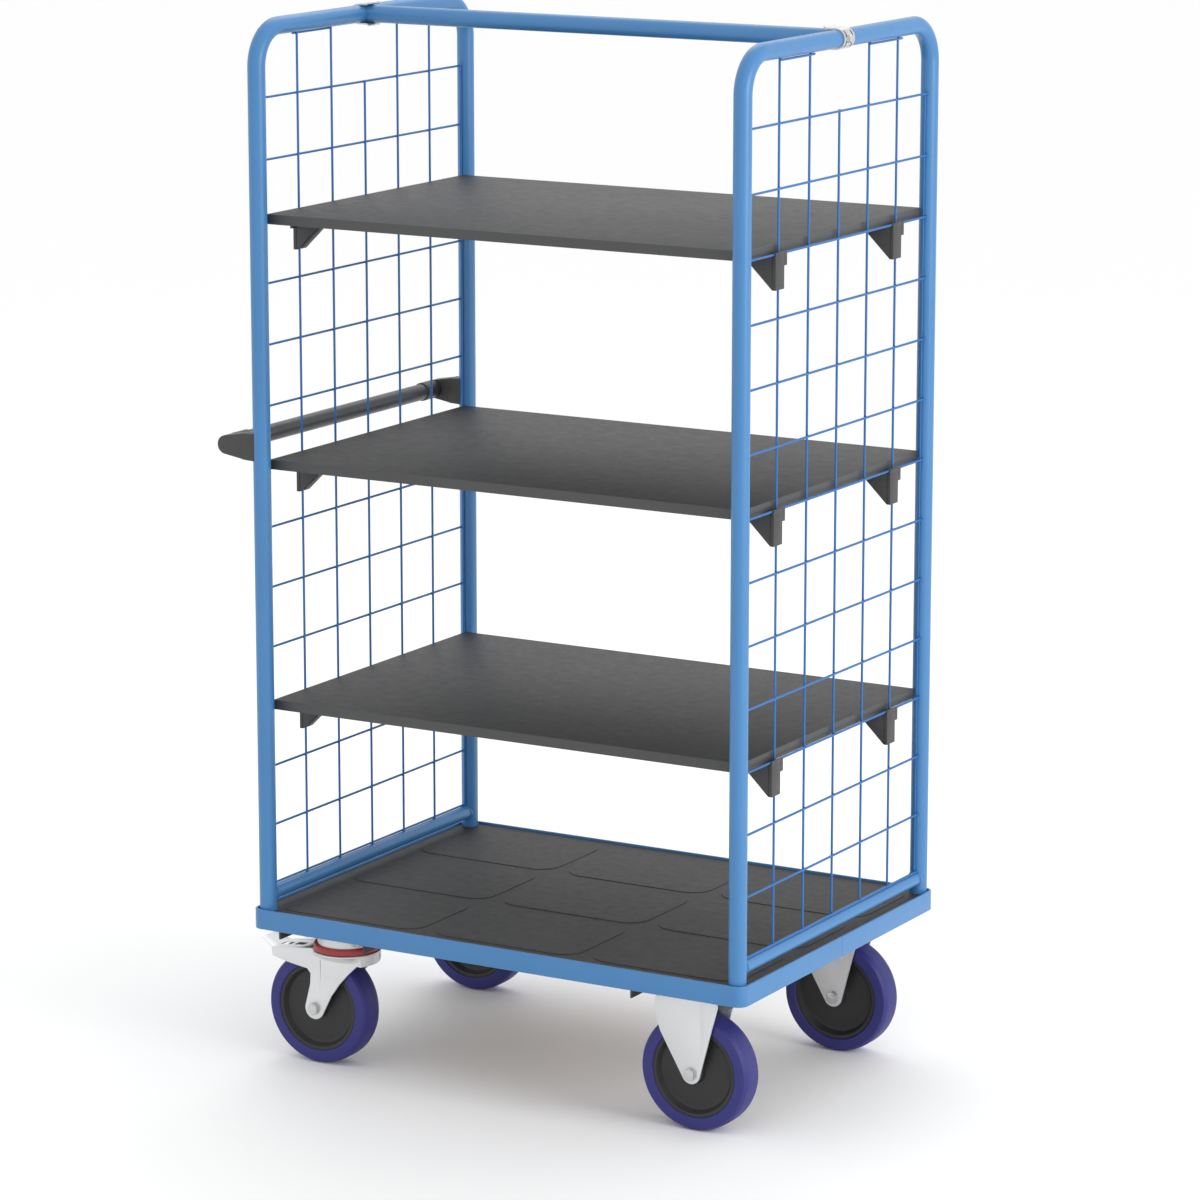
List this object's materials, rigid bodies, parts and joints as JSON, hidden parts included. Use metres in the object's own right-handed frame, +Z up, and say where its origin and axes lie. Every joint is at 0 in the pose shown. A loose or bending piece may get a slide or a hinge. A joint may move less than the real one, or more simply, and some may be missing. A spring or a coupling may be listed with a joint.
{
  "type": "shelf trolley",
  "caption": "Tall shelf trolley: blue tube end frames with wire mesh, dark loose-laid shelves over a matted deck, push handle, fixed and braked swivel casters.",
  "frame": {"origin": "floor point under the middle of the load deck", "axes": "+Z up, +X towards the end away from the push handle, +Y across the deck"},
  "size_m": [1.0172, 0.7, 1.8053],
  "materials": {
    "blue_steel": "light blue powder coat, satin",
    "deck_board": "bare plywood, seen only at its edge",
    "deck_mat": "matt anthracite moulded mat",
    "black_steel": "black paint, satin",
    "zinc": "bright zinc plate",
    "caster_steel": "pressed steel, zinc plated",
    "shelf_board": "fibreboard with matt anthracite coating",
    "shelf_edge": "matt black edge band",
    "black_plastic": "fine-textured moulded nylon",
    "handle_grip": "dark grey smooth grip tube",
    "hub_plastic": "moulded nylon, satin",
    "tyre_rubber": "blue elastic rubber, matt",
    "seal_plastic": "red moulded seal",
    "shoe_rubber": "black brake shoe"
  },
  "bodies": {
    "frame": {"deck_frame": "blue_steel", "deck_board": "deck_board", "deck_mat": "deck_mat", "cross_rail_push": "black_steel", "cross_rail_far": "black_steel", "end_tube_push": "blue_steel", "end_tube_far": "blue_steel", "foot_tube_push": "blue_steel", "foot_tube_far": "blue_steel", "mesh_push": "blue_steel", "mesh_far": "blue_steel", "tie_bar": "blue_steel", "tie_bar_plugs": "zinc", "tie_clamp_push": "zinc", "tie_clamp_far": "zinc", "tie_bolts": "zinc", "shelf_low": "shelf_board", "shelf_mid": "shelf_board", "shelf_top": "shelf_board", "shelf_edge_low": "shelf_edge", "shelf_edge_mid": "shelf_edge", "shelf_edge_top": "shelf_edge", "brackets_low": "black_plastic", "brackets_mid": "black_plastic", "brackets_top": "black_plastic", "handle_bar": "handle_grip", "handle_bracket_front": "black_plastic", "handle_bracket_back": "black_plastic", "handle_screws": "zinc", "deck_screws": "zinc", "caster_bolts": "zinc", "fixed_fork_front": "caster_steel", "fixed_axle_front": "zinc", "fixed_fork_back": "caster_steel", "fixed_axle_back": "zinc", "swivel_plate_front": "caster_steel", "swivel_seal_front": "seal_plastic", "kingpin_front": "zinc", "swivel_plate_back": "caster_steel", "swivel_seal_back": "seal_plastic", "kingpin_back": "zinc"},
    "swivel_front": {"swivel_fork_front": "caster_steel", "swivel_axle_front": "zinc"},
    "swivel_wheel_front": {"swivel_hub_front": "hub_plastic", "swivel_tyre_front": "tyre_rubber"},
    "fixed_wheel_front": {"fixed_hub_front": "hub_plastic", "fixed_tyre_front": "tyre_rubber"},
    "brake_front": {"pedal_front": "caster_steel", "brake_shoe_front": "shoe_rubber"},
    "swivel_back": {"swivel_fork_back": "caster_steel", "swivel_axle_back": "zinc"},
    "swivel_wheel_back": {"swivel_hub_back": "hub_plastic", "swivel_tyre_back": "tyre_rubber"},
    "fixed_wheel_back": {"fixed_hub_back": "hub_plastic", "fixed_tyre_back": "tyre_rubber"},
    "brake_back": {"pedal_back": "caster_steel", "brake_shoe_back": "shoe_rubber"}
  },
  "joints": [
    {"name": "swivel_turn_front", "type": "hinge", "parent": "frame", "child": "swivel_front", "pos_m": [-0.3475, -0.254, 0.205], "axis": [0, 0, 1], "continuous": true},
    {"name": "swivel_wheel_spin_front", "type": "hinge", "parent": "swivel_front", "child": "swivel_wheel_front", "pos_m": [-0.394, -0.254, 0.1], "axis": [0, 1, 0], "continuous": true},
    {"name": "fixed_wheel_spin_front", "type": "hinge", "parent": "frame", "child": "fixed_wheel_front", "pos_m": [0.3475, -0.254, 0.1], "axis": [0, 1, 0], "continuous": true},
    {"name": "brake_press_front", "type": "hinge", "parent": "swivel_front", "child": "brake_front", "pos_m": [-0.428, -0.254, 0.193], "axis": [0, -1, 0], "range_deg": [0, 8]},
    {"name": "swivel_turn_back", "type": "hinge", "parent": "frame", "child": "swivel_back", "pos_m": [-0.3475, 0.254, 0.205], "axis": [0, 0, 1], "continuous": true},
    {"name": "swivel_wheel_spin_back", "type": "hinge", "parent": "swivel_back", "child": "swivel_wheel_back", "pos_m": [-0.394, 0.254, 0.1], "axis": [0, 1, 0], "continuous": true},
    {"name": "fixed_wheel_spin_back", "type": "hinge", "parent": "frame", "child": "fixed_wheel_back", "pos_m": [0.3475, 0.254, 0.1], "axis": [0, 1, 0], "continuous": true},
    {"name": "brake_press_back", "type": "hinge", "parent": "swivel_back", "child": "brake_back", "pos_m": [-0.428, 0.254, 0.193], "axis": [0, -1, 0], "range_deg": [0, 8]}
  ]
}
